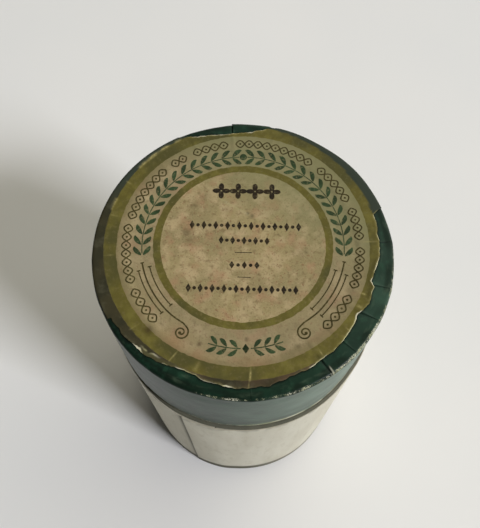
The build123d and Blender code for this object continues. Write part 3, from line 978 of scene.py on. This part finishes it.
# %% The lid's hoop
hoop_section = np.concatenate([
    run((pasted_bore, board_foot), (HOOP_RADIUS, board_foot), 4),
    run((HOOP_RADIUS, board_foot), (HOOP_RADIUS, corner_low), 12),
    bend((corner_in, corner_low), CORNER - COVER_PAPER, 0, 90, 6),
    run((corner_in, DISC_TOP), (pasted_bore, DISC_TOP), 3),
    run((pasted_bore, DISC_TOP), (pasted_bore, board_foot), 4),
])
wide, tall = hoop_section[:, :1], hoop_section[:, 1:]
hoop_radius = wide + (wide > pasted_bore + 0.1) * (lid_wall(tall, all_round) - 0.1)
hoop_grid = spin(hoop_radius, tall, all_round)
lid_hoop = make_piece("lid_hoop", hoop_grid, "lid", "pasteboard", pasteboard)
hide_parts("lid_rim")

# %% [markdown]
# ## The body's cream cover
# The body's sheet is carried round in the same way, with its lapped joint on the left of the front.
# The upper end's free edge stands one paper proud and shows as a grey line, and the paper darkens over
# its top 2.5 mm.

# %% The body's cream cover
BODY_SEAM = 244.4
BODY_LAP = 9.0
BASE_TURN_IN = 8.0

turned_in, board_low = BODY_RADIUS - BASE_TURN_IN, BODY_LOW + COVER_PAPER
body_outer = np.concatenate([
    run((turned_in, BODY_LOW), (BODY_RADIUS - FOOT_BEND, BODY_LOW), 6),
    bend((BODY_RADIUS - FOOT_BEND, BODY_LOW + FOOT_BEND), FOOT_BEND, 270, 360, 5),
    run((BODY_RADIUS, BODY_LOW + FOOT_BEND), (BODY_RADIUS, BODY_LOW + 4), 4),
    run((BODY_RADIUS, BODY_LOW + 4), (BODY_RADIUS, BODY_TOP - 1), 34),
    np.linspace((BODY_RADIUS, BODY_TOP - 1), (BODY_RADIUS, BODY_TOP), 4),
])
section = np.concatenate([
    body_outer,
    run((TUBE_RADIUS, BODY_TOP), (TUBE_RADIUS, board_low), 6),
    np.linspace((TUBE_RADIUS, board_low), (turned_in, board_low), 4),
])
wide, tall = section[:, :1], section[:, 1:]
standing = wide > TUBE_RADIUS - 0.1
outside = (np.arange(len(section)) < len(body_outer))[:, None] * standing
lap_turn = np.degrees(BODY_LAP / BODY_RADIUS)
near_end = BODY_SEAM + np.array([0, 0.1, 0.2, 0.35, 0.5, 0.7])
even = np.linspace(BODY_SEAM, BODY_SEAM + 360 + lap_turn, 620)
angles = np.unique(np.concatenate([near_end, even]).round(3))
arc = np.radians(angles) * BODY_RADIUS
past_lap = angles - BODY_SEAM - lap_turn
over = np.where(outside, 1 - smooth((past_lap - 0.3) / 9), 1 - smooth((past_lap - 0.1) / 0.6))
radius = wide + standing * over * COVER_PAPER + outside * 0.05 * unevenness(arc, tall, 11, 41)
radius += smooth((wide - BODY_RADIUS + 6) / (6 - COVER_PAPER)) * out_of_round(angles, BODY_DENTS)
# Under the base the sheet's last centimetre lies one paper deeper than its first
deeper = LAP_DEPTH * smooth((angles - BODY_SEAM - 360 + 0.4) / 0.5)
height = tall + deeper * smooth((board_low + FOOT_BEND - tall) / FOOT_BEND)
height += (tall > BODY_TOP - 0.5) * 0.12 * unevenness(arc, 0 * arc, 2.4, 42)
grid = spin(radius, height, angles)
print("body cover:", grid.shape[:2], "points")

# %% Dirt, painted shade and the mesh of the body's cover
before_seam = from_middle(np.degrees(np.arctan2(grid[..., 1], grid[..., 0])) - BODY_SEAM)
first_half = angles < BODY_SEAM + 180
under_edge = (angles > BODY_SEAM + 180) * outside
# Painted shadow beside the lap's raised edge, fading over about a degree to the left, with dirt in the
# joint
seam_dirt = under_edge * np.exp(-np.clip(-before_seam - 1.0, 0, 99) / 0.9) * (before_seam < 0.3)
edge_dirt = first_half * outside * bell(angles - BODY_SEAM, 0.3)
# Painted shade: the sheet left of the joint is painted greyer, fading out over 22 degrees to the left
painted_shade_left_of_joint = 0.12 * under_edge * smooth(1 + before_seam / 22) * (before_seam < 0.1)
# The cream is darker over its top 2.5 mm, next to the lid's foot, broken up by noise
rim_dirt = outside * 0.5 * smooth((height - BODY_TOP + 2.5) / 2.5)
rim_dirt = rim_dirt * smooth(unevenness(arc, height, 1.5, 43) + 0.5)
body_cover = make_piece("body_cover", grid, "carton", "cream_paper", cream_paper, closed_round=False,
                        dirt=np.max([seam_dirt, edge_dirt, painted_shade_left_of_joint, rim_dirt], axis=0),
                        bare=0.6 * (tall > BODY_TOP - 0.2))
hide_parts("body_wrap")

# %% [markdown]
# ## The body's tube
# The wound tube under the cream paper follows the same dents, so it stands for the true round one
# of the measured model. Its inside, which the neck fills, stays round.

# %% The body's tube
board_section = np.concatenate([
    run((NECK_RADIUS, board_low), (TUBE_RADIUS, board_low), 3),
    run((TUBE_RADIUS, board_low), (TUBE_RADIUS, TUBE_TOP), 20),
    run((TUBE_RADIUS, TUBE_TOP), (NECK_RADIUS, TUBE_TOP), 5),
    run((NECK_RADIUS, TUBE_TOP), (NECK_RADIUS, board_low), 20),
])
wide, tall = board_section[:, :1], board_section[:, 1:]
share = smooth((wide - NECK_RADIUS) / (TUBE_RADIUS - NECK_RADIUS))
board_radius = wide + share * (out_of_round(all_round, BODY_DENTS) - 0.03)
board_grid = spin(board_radius, tall, all_round)
body_board = make_piece("body_board", board_grid, "carton", "pasteboard", pasteboard)
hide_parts("body_tube")

# %% [markdown]
# ## Lining and pad
# The flannel lining is pasted inside the neck. Its nap makes a soft, slightly uneven wall with a
# rounded top edge. The pad under the record is a disc of the same cloth. Both are closed, crowned
# forms with a low swell, and the weave and nap come from the material.

# %% Flannel lining
lining_inner = RECORD_RADIUS + 0.3
mid = (LINING_RADIUS + lining_inner) / 2
half_cloth = (LINING_RADIUS - lining_inner) / 2
rounding = LINING_TOP - half_cloth
lining_section = np.concatenate([
    run((LINING_RADIUS, PAD_TOP), (LINING_RADIUS, rounding), 30),
    bend((mid, rounding), half_cloth, 0, 180, 12),
    run((lining_inner, rounding), (lining_inner, PAD_TOP), 60),
    run((lining_inner, PAD_TOP), (LINING_RADIUS, PAD_TOP), 3),
])
wide, tall = lining_section[:, :1], lining_section[:, 1:]
angles = run(0, 360, 480)
px, py = lining_inner * np.cos(np.radians(angles)), lining_inner * np.sin(np.radians(angles))
swell = 0.1 * unevenness(px, py + 1.7 * tall, 4, 51)
top_edge = smooth((tall - LINING_TOP + 2.5) / 1.5)
height = tall + top_edge * 0.25 * unevenness(px, py, 3, 52)
grid = spin(wide + (wide < mid) * (swell + 0.12), height, angles)
flannel = make_piece("flannel_wall", grid, "carton", "napped_cotton", napped_cotton)
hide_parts("flannel_lining")

# %% Base pad
pad_mid, pad_half = (PAD_LOW + PAD_TOP) / 2, (PAD_TOP - PAD_LOW) / 2
pad_edge = LINING_RADIUS - pad_half
pad_section = np.concatenate([
    np.linspace((0, PAD_LOW), (pad_edge, PAD_LOW), 6),
    bend((pad_edge, pad_mid), pad_half, 275, 450, 10),
    np.linspace((pad_edge, PAD_TOP), (0, PAD_TOP), 40),
])
grid = spin(pad_section[:, :1], pad_section[:, 1:], run(0, 360, 240))
x, y, z = np.moveaxis(grid, -1, 0)
swell = 0.12 * unevenness(x, y, 4, 53) - 0.14
grid[..., 2] += (z > pad_mid) * swell * smooth((LINING_RADIUS - np.hypot(x, y)) / 2)
pad = make_piece("cotton_pad", grid, "carton", "napped_cotton", napped_cotton, closed_section=False)
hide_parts("base_pad")

# %% [markdown]
# ## The printed ornament
# The label carries a printer's stock ornament: a wreath of leaves in green, a thin twisted border
# in olive, two scrolls, and small lozenges in the middle. The ornament could be drawn in the
# material, but curls and leaves would need many nodes. Each mark is instead a stroke: a path with a
# width that changes along it. A leaf, a dot and a line differ only in how the width runs. All
# strokes of one ink make one thin mesh on the label.

# %% Strokes
INK_PROUD = 0.025
INK_SINKS = 0.08


def stroke(path, width):
    """A closed strip of ink along a path, in mm: two edges at half the width to each side of it,
    each with a point on the paper and one just under it. Returns a grid of 4 points a step."""
    way = np.gradient(path, axis=0)
    way /= np.maximum(np.linalg.norm(way, axis=1, keepdims=True), 1e-9)
    half = np.broadcast_to(width, len(path))[:, None] / 2
    side = np.stack([-way[:, 1], way[:, 0]], axis=-1) * half
    left, right = path + side, path - side
    rows = []
    for edge, sink in ((right, INK_SINKS), (right, 0), (left, 0), (left, INK_SINKS)):
        level = label_height(edge[:, 0], edge[:, 1]) + INK_PROUD - sink
        rows.append(np.column_stack([edge, level]))
    return np.array(rows)


def dot(centre, radius):
    """A round dot: a short path whose width follows a circle."""
    t = np.linspace(-0.98, 0.98, 10)
    path = np.column_stack([centre[0] + radius * t, centre[1] + 0 * t])
    return stroke(path, 2 * radius * np.sqrt(1 - t ** 2))


def polar(distance, angle):
    """Points on the label at a distance from its middle and a direction in degrees."""
    turn = np.radians(angle)
    x = LABEL_MIDDLE[0] + distance * np.cos(turn)
    return np.stack([x, LABEL_MIDDLE[1] + distance * np.sin(turn)], axis=-1)


def print_ink(name, strokes, ink):
    """Joins all strokes of one ink into one mesh. Each is a tube of four rows with closed ends."""
    points, faces, start = [], [], 0
    for grid in strokes:
        count = grid.shape[1]
        index = start + np.arange(4 * count).reshape(4, count)
        onward = np.roll(index, -1, axis=0)
        quads = np.stack([index[:, :-1], onward[:, :-1], onward[:, 1:], index[:, 1:]], axis=-1)
        faces += quads.reshape(-1, 4).tolist() + [index[::-1, 0].tolist(), index[:, -1].tolist()]
        points.append(grid.reshape(-1, 3))
        start += 4 * count
    mesh = bpy.data.meshes.new(name)
    mesh.from_pydata((np.concatenate(points) * MM).tolist(), [], faces)
    piece = bpy.data.objects.new(name, mesh)
    bpy.context.scene.collection.objects.link(piece)
    mesh.materials.append(ink)
    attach(piece, "lid")
    print(f"{name}: {len(strokes)} strokes, {len(mesh.polygons)} faces")
    return piece


# %% The green wreath and the sprig at the foot
WREATH = (187.5, -7.5)
WREATH_MIDDLE = 23.45
WREATH_LEAVES = 31
WREATH_TOP = 90
LEAF = 3.0
LEAF_WIDTH = 1.05
SPRIG_MIDDLE = 271.5
SPRIG_DISTANCE = 25.2
SPRIG_LEAF_WIDTH = 0.95

green_strokes = []
steps = np.linspace(0, 1, 14)
# A leaf's width is the sine of the way along, to the power 0.8, so that both ends are pointed
leaf_shape = np.sin(np.pi * np.linspace(0.02, 0.98, len(steps))) ** 0.8
for direction in np.linspace(*WREATH, WREATH_LEAVES):
    if abs(direction - WREATH_TOP) < 3:
        continue
    way = 1 if direction > WREATH_TOP else -1
    turn = direction - way * np.degrees(LEAF / WREATH_MIDDLE) * 0.75 * steps
    for outward in (1, -1):
        distance = WREATH_MIDDLE + outward * (0.25 + 1.55 * np.sin(steps * np.pi / 2) ** 1.2)
        green_strokes.append(stroke(polar(distance, turn), LEAF_WIDTH * leaf_shape))
for first, last in ((186.5, 92.5), (87.5, -6.5)):
    green_strokes.append(stroke(polar(WREATH_MIDDLE, np.linspace(first, last, 90)), 0.22))
green_strokes.append(dot(polar(WREATH_MIDDLE, WREATH_TOP), 0.9))

for place in (-15.5, -10.5, -5.2, 5.2, 10.5, 15.5):
    turn = SPRIG_MIDDLE + place + np.sign(place) * (4.4 * steps - 1)
    for outward in (1, -1):
        distance = SPRIG_DISTANCE + outward * (0.2 + 1.45 * np.sin(steps * np.pi / 2))
        green_strokes.append(stroke(polar(distance, turn), SPRIG_LEAF_WIDTH * leaf_shape))
for way in (-1, 1):
    turn = SPRIG_MIDDLE + way * np.linspace(2.5, 19, 30)
    green_strokes.append(stroke(polar(SPRIG_DISTANCE, turn), 0.25))
lozenge = np.linspace(-1, 1, 15)
for distance in (-1.1, 1.1):
    middle = polar(SPRIG_DISTANCE + distance * lozenge, SPRIG_MIDDLE)
    green_strokes.append(stroke(middle, 1.5 * (1.02 - np.abs(lozenge))))
green_print = print_ink("label_print_green", green_strokes, green_ink)

# %% The thin olive border and the scrolls
BORDER_MIDDLE = 27.1
BORDER_HALF = 1.0
BORDER_EYE = 2.3
# Each part of the border runs from one direction to another, with a gap after it
BORDER_PARTS = (
    (225, 205), (202, 170), (167, 134), (130, 121), (117, 98), (94, 52), (48, 24), (20, 2),
    (-2, -24), (-28, -49),
)
SCROLL_AXIS = 270.6
STEM_START, STEM_DISTANCE = 192.3, 23.65


def scroll_place(way, distance, angle):
    """A place on the left-hand scroll, or on its mirror image across the label's axis."""
    return polar(distance, angle if way == 1 else 2 * SCROLL_AXIS - angle)


olive_strokes = []
for first, last in BORDER_PARTS:
    eyes = max(round(abs(first - last) * np.pi / 180 * BORDER_MIDDLE / BORDER_EYE), 2)
    turn = np.linspace(first, last, eyes * 12 + 1)
    wave = np.sin(np.linspace(0, eyes * np.pi, len(turn)))
    for way in (-1, 1):
        olive_strokes.append(stroke(polar(BORDER_MIDDLE + way * BORDER_HALF * wave, turn), 0.32))
    for eye in range(eyes):
        turn = first + (last - first) * (eye + 0.5) / eyes
        olive_strokes.append(dot(polar(BORDER_MIDDLE, turn), 0.26))

for way in (1, -1):
    # The right-hand lines begin and end a little lower
    lower = 0 if way == 1 else 3
    lines = ((24.8, 196.5 + lower, 223.5 + lower), (22.15, 195.6 + lower, 223.5 + 1.3 * lower))
    tick = np.linspace(-0.45, 0.45, 5)
    for distance, first, last in lines:
        olive_strokes.append(stroke(scroll_place(way, distance, np.linspace(first, last, 40)), 0.26))
        for end in (first, last):
            olive_strokes.append(stroke(scroll_place(way, distance + tick, end), 0.3))
    # A stem runs down into a spiral that winds in towards its eye
    stem = np.linspace(STEM_START, 236, 60)
    curl = np.linspace(0, 1, 50)
    eye = np.radians(237.8 if way == 1 else 238.8)
    spiral_turn, spiral_size = np.radians(52 - 560 * curl), 1.72 - 1.42 * curl
    sx = 25.45 * np.cos(eye) + spiral_size * np.cos(spiral_turn)
    sy = 25.45 * np.sin(eye) + spiral_size * np.sin(spiral_turn)
    distance = np.concatenate([STEM_DISTANCE - 0.2 * smooth((stem - 225) / 12), np.hypot(sx, sy)])
    path = scroll_place(way, distance, np.concatenate([stem, np.degrees(np.arctan2(sy, sx)) % 360]))
    olive_strokes += [stroke(path, 0.34), dot(path[-1], 0.36)]
    tick = np.linspace(-0.4, 0.4, 5)
    olive_strokes.append(stroke(scroll_place(way, STEM_DISTANCE + tick, STEM_START), 0.28))
olive_print = print_ink("label_print_olive", olive_strokes, olive_ink)

# %% The rows in the middle
# Each row: height of its middle, left end, right end, height of its marks and the number of marks
ROWS = (
    (15.5, -7.6, 8.6, 4.2, 4), (6.2, -12.8, 13.6, 2.2, 19), (2.4, -5.8, 6.2, 2.0, 9),
    (-3.8, -3.2, 4.0, 1.8, 5), (-9.7, -12.8, 12.8, 2.1, 19),
)
# Each rule: height, left end and right end
RULES = ((-0.64, -1.9, 2.1), (-6.8, -1.1, 1.9))
FLOWER_TALL = 3  # rows taller than this are flowers of four petals
tilt = np.radians(-1.2)


def in_the_middle(x, y):
    """A place in the label's middle, turned with the label's slight tilt."""
    turned = [x * np.cos(tilt) - y * np.sin(tilt), x * np.sin(tilt) + y * np.cos(tilt)]
    return np.stack(turned, axis=-1)


brown_strokes = []
t = np.linspace(-1, 1, 13)
for level, first, last, tall, count in ROWS:
    for number in range(count):
        middle = first + (last - first) / count * (number + 0.5)
        if tall > FLOWER_TALL:
            for petal in np.radians([0, 90, 180, 270]):
                out = tall / 2 * (t + 1.15) / 2.15
                path = in_the_middle(middle + out * np.cos(petal), level + out * np.sin(petal))
                brown_strokes.append(stroke(path, 1.25 * np.sqrt(1.01 - t ** 2)))
        elif number % 2:
            brown_strokes.append(dot(in_the_middle(middle, level), 0.42))
        else:
            path = in_the_middle(middle, level + tall / 2 * t)
            brown_strokes.append(stroke(path, 1.15 * (1.03 - np.abs(t))))
for level, first, last in RULES:
    brown_strokes.append(stroke(in_the_middle(np.linspace(first, last, 12), level), 0.16))
brown_print = print_ink("label_print_brown", brown_strokes, brown_ink)
